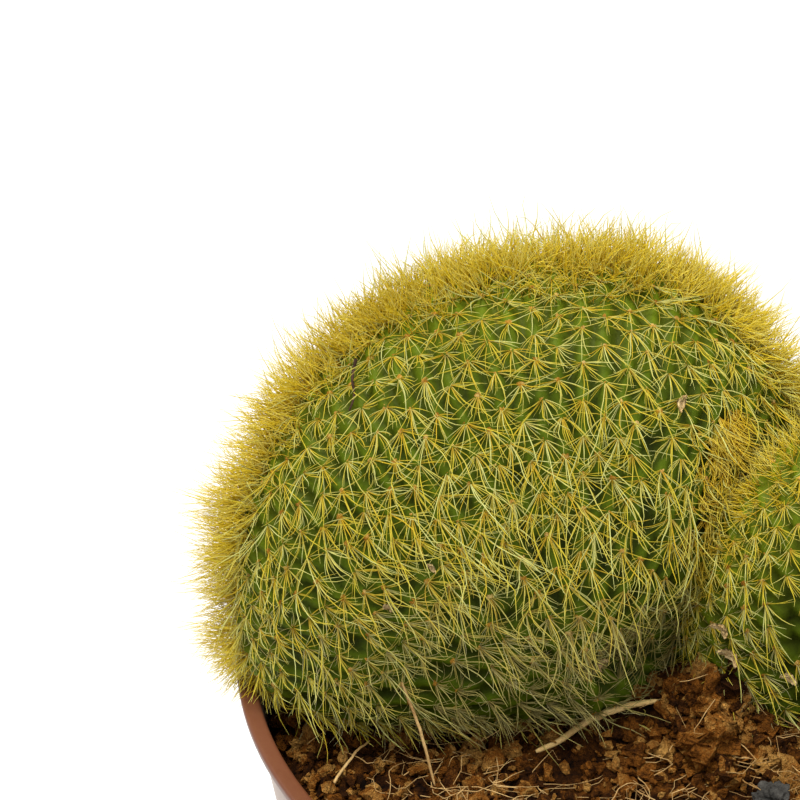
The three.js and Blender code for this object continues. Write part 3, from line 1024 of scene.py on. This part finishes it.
def tuft_points():
    """Clumps down the valley, densest and widest at its top."""
    rng = np.random.default_rng(23)
    marks = np.array(smooth_path(TUFT_LINE, TUFT_CLUMPS)) * MM
    share = rng.beta(1.0, 2.0, TUFT_CLUMPS)
    spot = marks[(share * (TUFT_CLUMPS - 1)).astype(int)]
    x = spot[:, 0] + TUFT_HALF * (1 - 0.65 * share) * rng.normal(0, 0.8, TUFT_CLUMPS)
    height = spot[:, 1] + rng.normal(0, 1, TUFT_CLUMPS) * MM
    lobe = FANS["main"]
    place, normal, _ = clumped(lobe, *front_seats(lobe, x, height), TUFT_SPINES, rng)
    down = down_the_flesh(np.tile(TUFT_WAY, (len(place), 1)), normal)
    return place, normal, down, np.repeat(rng.uniform(0.7, 1.2, TUFT_CLUMPS), TUFT_SPINES)


tuft = points_object("valley_tuft", *tuft_points())
PIECES.append(grow(tuft, TUFT, spine_sizes("tuft")))

# %% [markdown]
# ## Dried bits
# A few dry, curled remains of flowers and one dark twig are caught between the spines. Their marks
# are the fan, then millimetres across and up from the rim, as for the tuft, and for the bits a size.

# %% Dried bits
BITS = [("main", -12.0, 58.2, 0.9), ("main", -0.6, 42.7, 1.0), ("front", -3.0, 19.3, 1.2),
        ("front", -4.3, 23.6, 1.0), ("front", 5.5, 18.0, 1.0), ("main", -25.0, 17.3, 0.9),
        ("main", -51.1, 35.1, 0.6), ("main", -57.9, 27.6, 0.6)]
BIT_SHAPE = np.array([1.5, 0.6, 0.12])
TWIG = [(-62.4, 61.0), (-63.0, 59.2), (-62.8, 57.6), (-63.6, 55.8)]
TWIG_LIFT = 2.2 * MM
TWIG_RADIUS = 0.3 * MM


def dried_bit(shape, lobe, x, height, size, rng):
    """One curled flake: a ball that is flattened, bent and crumpled by noise."""
    spot = front_seats(lobe, np.array([x * MM]), np.array([height * MM]))
    place, normal, down = (part[0] for part in seats(lobe, *spot))
    axes = np.stack([down, np.cross(normal, down), normal], -1)
    for vert in bmesh.ops.create_icosphere(shape, subdivisions=3, radius=1.0)["verts"]:
        crumple = np.array(noise.noise_vector(vert.co * 1.7 + Vector((x, height, 0)))) * 0.5
        local = (np.array(vert.co) + crumple) * (BIT_SHAPE * size * MM)
        local[2] += (local[0] ** 2 + 0.6 * local[1] ** 2) / (2.2 * size * MM)
        vert.co = Vector(axes @ local + place + normal * (1.6 + rng.random()) * MM)


def dried_bits():
    """All flakes as one piece. The vector noise has a seed of its own, which is fixed first."""
    noise.seed_set(29)
    shape = bmesh.new()
    rng = np.random.default_rng(29)
    for key, x, height, size in BITS:
        dried_bit(shape, FANS[key], x, height, size, rng)
    bits = object_from("dried_bits", shape)
    bits.data.shade_smooth()
    bits.data.materials.append(dry_material("dry petals", (0.36, 0.2, 0.06), (0.78, 0.6, 0.3)))
    return bits


def twig(count=14):
    x, height = np.array(TWIG).T * MM
    place, normal, _ = seats(FANS["main"], *front_seats(FANS["main"], x, height))
    path = smooth_path(place + normal * TWIG_LIFT, count)
    radii = [TWIG_RADIUS * (1 - 0.5 * i / (count - 1)) for i in range(count)]
    return tube("dark_twig", path, radii,
                dry_material("dark twig", (0.02, 0.01, 0.006), (0.09, 0.05, 0.03)))


PIECES += [dried_bits(), twig()]

# %% [markdown]
# ## The soil
# Potting soil of peat and coir is a rough, crumbly mass: a surface with lumps and pits, loose crumbs
# of many sizes on it, and fibres through it. The surface is a round grid raised by a formula and by
# noise. It is heaped up against the plant and sinks in a crevice along the pot's wall.

# %% Soil surface
SOIL_EDGE_DROP = 9 * MM
SOIL_RISE = 4.5 * MM
EDGE_CREVICE = 5 * MM
HEAP = {"x": -3 * MM, "y": -20 * MM, "left": 25 * MM, "right": 14 * MM, "deep": 8.5 * MM,
        "height": 13 * MM}
LIP_WIDTH = 3.2 * MM
LIP_OVERHANG = 1.8 * MM
LIP_BEVEL = 0.5 * MM
LIP_HEIGHT = 2.4 * MM
BASE_RADIUS = 61.5 * MM
WALL = 1.4 * MM
POT_FLOOR = 2 * MM
WALL_GAP = 0.5 * MM


def wall_radius(height):
    """The radius of the pot's outer wall at a height."""
    return BASE_RADIUS + (RIM_RADIUS - LIP_OVERHANG - BASE_RADIUS) * height / RIM_Z


def inside_radius(height):
    foot = wall_radius(POT_FLOOR) - WALL
    rise = (height - POT_FLOOR) / (RIM_Z - LIP_BEVEL - POT_FLOOR)
    return foot + (RIM_RADIUS - LIP_WIDTH - foot) * rise


def soil_level(x, y):
    """The soil's height without its lumps."""
    share = math.hypot(x, y) / RIM_RADIUS
    wide = HEAP["left" if x < HEAP["x"] else "right"]
    heap = math.exp(-((x - HEAP["x"]) / wide) ** 2 - ((y - HEAP["y"]) / HEAP["deep"]) ** 2)
    crevice = EDGE_CREVICE * max(0, (share - 0.88) / 0.05) ** 2
    return (RIM_Z - SOIL_EDGE_DROP + SOIL_RISE * (1 - share * share) + HEAP["height"] * heap
            - crevice)


def soil_height(x, y):
    """The soil's height with lumps of three sizes."""
    spot = Vector((x, y, 0))
    lumps = noise.fractal(spot * 90, 0.9, 2.1, 3) * 1.5 * MM
    pits = abs(noise.noise(spot * 260 + Vector((7, 3, 1)))) * -1.6 * MM
    grit = noise.noise(spot * 800) * 0.45 * MM
    return soil_level(x, y) + lumps + pits + grit


def soil_body(rings=96, sides=420):
    """The round block of soil: a rough top, a side that follows the wall, and a flat bottom."""
    top_radius = inside_radius(RIM_Z - SOIL_EDGE_DROP) - WALL_GAP
    foot = POT_FLOOR + 0.3 * MM
    points = [(0, 0, soil_height(0, 0))]
    for radius in (top_radius * ring / rings for ring in range(1, rings + 1)):
        points += [(radius * c, radius * s, soil_height(radius * c, radius * s))
                   for c, s in around(sides)]
    for height in (RIM_Z - 14 * MM, 0.5 * RIM_Z, foot):
        radius = inside_radius(height) - WALL_GAP
        points += [(radius * c, radius * s, height) for c, s in around(sides)]
    points.append((0, 0, foot))
    faces = [tuple(reversed(face)) for face in closed_grid(sides, rings + 3)]
    return new_object("soil_bed", points, faces)


# %% Soil material
def soil_material():
    """Orange-brown coir and peat. Each crumb has its own tone, and the bed is the darkest, as painted
    shade in the gaps between the crumbs.
    """
    material, tree, shader = new_material("crumbly soil", 0.85, 0.1)
    spots = mottle(tree, 220.0, 1700.0, 2.6)
    # The bed has no tone of its own, so it takes the darkest colours: painted shade between the
    # crumbs.
    mask = (spots * 0.5 + attribute(tree, "tone") * 0.65).clamped()
    feed(tree, shader["Base Color"], ramp(tree, mask, {
        0.0: (0.008, 0.002, 0.0002), 0.3: (0.08, 0.024, 0.002), 0.62: (0.33, 0.113, 0.0125),
        1.0: (0.7, 0.37, 0.09)}))
    bump(tree, shader, mottle(tree, 1200.0, 4500.0, 2.4), 1.0, 1.6 * MM)
    return material


SOIL_MATERIAL = soil_material()
soil = soil_body()
soil.data.materials.append(SOIL_MATERIAL)
PIECES.append(soil)

# %% [markdown]
# Crumbs are balls of a few faces, pushed out of shape by noise once they are real, so that no two are
# alike. There are three sizes: grit, crumbs and clods. More of the clods lie on the heap.

# %% Crumbs
STONE_PLACE = (5.5 * MM, -37.5 * MM)
STONE_RADIUS = 3 * MM
STRAW_MARKS = [(-33.5, -27), (-28, -25), (-22, -23.6), (-17.5, -23), (-13, -22.8)]
# For each size: how many, the share on the heap, how high they lie, and the inputs of the tree.
CRUMB_SIZES = {
    "grit": (6800, 0.05, 0.4 * MM, {"Radius Low": 0.4 * MM, "Radius High": 1.2 * MM,
                                    "Rough": 2.2, "Grain": 1400.0, "Detail": 1, "Seed": 3}),
    "crumbs": (2450, 0.14, 0.9 * MM, {"Radius Low": 0.7 * MM, "Radius High": 1.9 * MM,
                                      "Rough": 2.4, "Grain": 1000.0, "Detail": 2, "Seed": 4}),
    "clods": (120, 0.6, 0.2 * MM, {"Radius Low": 1.5 * MM, "Radius High": 4.0 * MM,
                                   "Rough": 2.7, "Grain": 640.0, "Detail": 3, "Seed": 6}),
}


def crumb_tree():
    """A rough flake of its own size, tone and turn on each point."""
    tree, given = new_tree("crumbs", {"Radius Low": 0.0005, "Radius High": 0.001, "Rough": 0.5,
                                      "Grain": 900.0, "Detail": 1, "Seed": 1})
    seed, low, high = (given[key] for key in ("Seed", "Radius Low", "Radius High"))
    chance = random_value(tree, 0.0, 1.0, seed)
    points = stored(tree, given["Geometry"], "size", low + chance * chance * (high - low))
    points = stored(tree, points, "tone", random_value(tree, 0.0, 1.0, seed + 1.0))
    turn = random_value(tree, (0, 0, 0), (math.tau, math.tau, math.tau), kind="FLOAT_VECTOR")
    flake, size = flat_ball(tree, given["Detail"], (1.3, 0.95, 0.6)), named(tree, "size")
    rough = moved(tree, strewn(tree, points, flake, turn, size),
                  noise_vector(tree, given["Grain"], 2.0) * (given["Rough"] * size))
    return finish_tree(tree, rough, SOIL_MATERIAL, smooth=False)


def scattered(count, seed, heap_share, lift, edge=2 * MM, clear=0.0):
    """Random places on the soil: some anywhere, some on the heap, none under the straw."""
    rng = np.random.default_rng(seed)
    reach = inside_radius(RIM_Z - SOIL_EDGE_DROP) - edge
    straw = np.array(smooth_path([(*mark, 0) for mark in STRAW_MARKS], 30))[:, :2] * MM
    places = []
    while len(places) < count:
        if rng.random() < heap_share:
            x = HEAP["x"] + HEAP["right"] * rng.normal()
            y = HEAP["y"] - 2 * MM + HEAP["deep"] * 0.6 * rng.normal()
        else:
            x, y = rng.uniform(-reach, reach, 2)
        if math.hypot(x, y) < reach and np.min(np.hypot(*(straw - (x, y)).T)) > clear:
            places.append((x, y, soil_height(x, y) + lift))
    return places


CRUMBS = crumb_tree()
for name, (count, heap_share, lift, sizes) in CRUMB_SIZES.items():
    places = scattered(count, sizes["Seed"], heap_share, lift, clear=sizes["Radius High"])
    PIECES.append(grow(new_object("soil_" + name, places), CRUMBS, sizes))


def grey_stone():
    """The one grey stone at the front of the soil: a ball that noise has pushed out of shape."""
    shape = bmesh.new()
    x, y = STONE_PLACE
    for vert in bmesh.ops.create_icosphere(shape, subdivisions=4, radius=1.0)["verts"]:
        rough = 1 + 0.45 * noise.fractal(vert.co * 1.6, 0.8, 2.2, 4)
        vert.co = Vector((x, y, soil_level(x, y) + 1.5 * MM)) + vert.co * rough * STONE_RADIUS
    stone = object_from("soil_stone", shape)
    stone.data.materials.append(
        dry_material("grey stone", (0.012, 0.011, 0.01), (0.085, 0.08, 0.07)))
    return stone


PIECES.append(grey_stone())

# %% [markdown]
# ## Fibres, rootlets and the straw
# Thin pale fibres lie all over the soil, half sunk in it. One pale straw and three longer rootlets are
# solids of their own in the model, and their finer copies here follow the same marks. Each is a curve
# with a round skin that tapers towards its ends.


# %% Straw and long rootlets
def fibre_material(name, dark, light):
    return mottled_material(name, {0.0: dark, 1.0: light}, (250.0, 2500.0, 2.0),
                            (1500.0, 6000.0, 1.5), (0.5, 0.2 * MM), 0.75, 0.25)


STRAW_MATERIAL = fibre_material("pale straw", (0.44, 0.26, 0.08), (0.78, 0.55, 0.22))
ROOT_MATERIAL = fibre_material("rootlets", (0.3, 0.15, 0.04), (0.68, 0.45, 0.18))
# Each one's radius, marks (with their height over the soil) and material, in millimetres.
LITTER = {
    "straw": (0.6, [(*mark, 0) for mark in STRAW_MARKS], STRAW_MATERIAL),
    "rootlet_left": (0.26, [(-61.5, -21, 1), (-65.5, -26, 0), (-68, -32, 0), (-70, -38, 0)],
                     ROOT_MATERIAL),
    "rootlet_middle": (0.28, [(-56, -28, 18.5), (-54, -29, 13), (-52, -31, 7), (-50.5, -33, 1.5)],
                       ROOT_MATERIAL),
    "rootlet_right": (0.3, [(8, -36, 0), (0, -38, 0), (-9, -41, 0), (-17, -48, 0)], ROOT_MATERIAL),
}


def litter(name, radius, marks, material, count=40):
    """A straw or rootlet that lies on the lumps of the soil, thinner at its ends."""
    path = [mark * MM for mark in smooth_path(marks, count)]
    ground = np.array([soil_height(p.x, p.y) for p in path])
    level = np.convolve(np.pad(ground, 8, mode="edge"), np.ones(17) / 17, mode="valid")
    for index, p in enumerate(path):
        wave = 0.4 * MM * noise.noise(Vector((p.x, p.y, 0)) * 250)
        p.z += max(level[index], ground[index] - 0.2 * MM) + (1.4 * radius + 1.2) * MM + wave
    radii = [radius * MM * (0.5 + 0.5 * math.sin(math.pi * i / (count - 1)) ** 0.5)
             for i in range(count)]
    return tube(name + "_fine", path, radii, material)


for name, (radius, marks, material) in LITTER.items():
    piece = litter(name, radius, marks, material)
    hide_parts(name)
    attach(piece, ROOT)


# %% Fibres
def fibre_tree():
    """A wavy fibre on each point, nearly level, thinner at its ends."""
    tree, given = new_tree("fibres", {"Length Low": 0.004, "Length High": 0.014, "Wave": 0.35,
                                      "Thickness": 0.0001, "Seed": 1})
    seed, long, level = given["Seed"], named(tree, "long"), math.pi / 2
    length = random_value(tree, given["Length Low"], given["Length High"], seed)
    points = stored(tree, given["Geometry"], "long", length)
    points = stored(tree, points, "thick", random_value(tree, 0.5, 1.4, seed + 2.0))
    turn = random_value(tree, (-0.22, level - 0.22, 0), (0.22, level + 0.22, math.tau),
                        kind="FLOAT_VECTOR")
    lines = strewn(tree, points, line(tree, -0.5, 0.5, 12), turn, long)
    wave = noise_vector(tree, 130.0, 1.0) * (1, 1, 0.25)
    wavy = moved(tree, lines, wave * (given["Wave"] * long))
    along = put(tree, "GeometryNodeSplineParameter", output="Factor")
    taper = along * (1.0 - along) * 2.4 + 0.4
    radius = taper * (given["Thickness"] * named(tree, "thick"))
    return finish_tree(tree, skin(tree, wavy, radius), ROOT_MATERIAL)


fibres = new_object("soil_fibres", scattered(760, 12, 0.05, 1.7 * MM, edge=14 * MM, clear=5 * MM))
grow(fibres, fibre_tree(), {"Length Low": 5 * MM, "Length High": 24 * MM, "Wave": 1.1,
                            "Thickness": 0.1 * MM, "Seed": 8})
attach(fibres, ROOT)

# %% [markdown]
# ## The pot
# A nursery pot is blown or pressed from thin terracotta-coloured plastic. It tapers, it has a thicker
# band at its lip, and small rounded edges everywhere. The turned profile below is finer than the
# solid's. The drain holes are cut from it by a boolean, as in the solid model.

# %% Pot
DRAIN_COUNT = 8
DRAIN_RADIUS = 5 * MM
DRAIN_CIRCLE = 47 * MM
POT_SIDES = 180
CORNER_RADIUS = 0.7 * MM


def rounded(points, radius, steps=4):
    """A profile with its corners rounded: each inner corner becomes a short arc."""
    points = [Vector(p) for p in points]
    result = [points[0]]
    for before, corner, after in zip(points, points[1:], points[2:]):
        cut = min(radius, 0.45 * (corner - before).length, 0.45 * (after - corner).length)
        start = corner + (before - corner).normalized() * cut
        end = corner + (after - corner).normalized() * cut
        result += [(1 - t) ** 2 * start + 2 * t * (1 - t) * corner + t * t * end
                   for t in np.linspace(0, 1, steps + 1)]
    return result + [points[-1]]


def pot_profile():
    """Radius and height round the pot's wall, from the middle of its foot to that of its floor."""
    lip_foot = RIM_Z - LIP_HEIGHT
    return rounded([(0, 0), (BASE_RADIUS, 0), (wall_radius(lip_foot), lip_foot),
                    (RIM_RADIUS - 0.3 * MM, lip_foot + 0.2 * MM), (RIM_RADIUS, RIM_Z),
                    (RIM_RADIUS - LIP_WIDTH, RIM_Z), (inside_radius(POT_FLOOR), POT_FLOOR),
                    (0, POT_FLOOR)], CORNER_RADIUS)


def drain_cutter():
    """All the drain holes as one cutter of separate round pegs."""
    shape = bmesh.new()
    for c, s in around(DRAIN_COUNT):
        place = Matrix.Translation((DRAIN_CIRCLE * c, DRAIN_CIRCLE * s, 0))
        bmesh.ops.create_cone(shape, cap_ends=True, segments=32, radius1=DRAIN_RADIUS,
                              radius2=DRAIN_RADIUS, depth=4 * POT_FLOOR, matrix=place)
    return object_from("drain cutter", shape)


def pot_body():
    profile = pot_profile()[1:-1]
    points = [(0, 0, 0)]
    for radius, height in profile:
        points += [(radius * c, radius * s, height) for c, s in around(POT_SIDES)]
    points.append((0, 0, POT_FLOOR))
    pot = new_object("pot_fine", points, closed_grid(POT_SIDES, len(profile)))
    outward(pot)
    cut = pot.modifiers.new("drains", "BOOLEAN")
    cutter = drain_cutter()
    cut.object = cutter
    cut.solver = "EXACT"
    applied(pot)
    bpy.data.objects.remove(cutter)
    pot.data.set_sharp_from_angle(angle=math.radians(35))
    return pot


# %% Pot material
def plastic_material():
    """Terracotta plastic, with a pale painted sheen on the wall below the lip where it turns away."""
    material, tree, shader = new_material("terracotta plastic", 0.38, 0.5)
    spots = mottle(tree, 25.0, 700.0, 1.2)
    color = ramp(tree, spots, {0.0: (0.124, 0.039, 0.016), 0.5: (0.143, 0.047, 0.02),
                               1.0: (0.163, 0.057, 0.026)})
    place = put(tree, "ShaderNodeTexCoord", output="Object")
    height = put(tree, "ShaderNodeSeparateXYZ", {0: place}, output="Z")
    below_lip = height.math("LESS_THAN", height, RIM_Z - LIP_HEIGHT)
    turned = put(tree, "ShaderNodeLayerWeight", {"Blend": 0.35}, output="Facing")
    # Painted reflection: below the lip, the wall is mixed towards pale where it turns away from the
    # view.
    painted_sheen = turned * turned * 0.58 * below_lip
    feed(tree, shader["Base Color"], mix(tree, painted_sheen, color, (0.6, 0.5, 0.42)))
    feed(tree, shader["Roughness"], spots * 0.14 + 0.33)
    bump(tree, shader, mottle(tree, 1800.0, 5000.0, 1.0), 0.12, 0.2 * MM)
    return material


pot = pot_body()
pot.data.materials.append(plastic_material())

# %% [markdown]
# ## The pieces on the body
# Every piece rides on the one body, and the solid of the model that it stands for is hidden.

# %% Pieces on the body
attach(pot, ROOT)
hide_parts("pot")
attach(flesh, ROOT)
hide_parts("cactus")
for piece in PIECES:
    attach(piece, ROOT)
    of_soil = piece.name.startswith("soil")
    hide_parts("soil" if of_soil else "cactus")
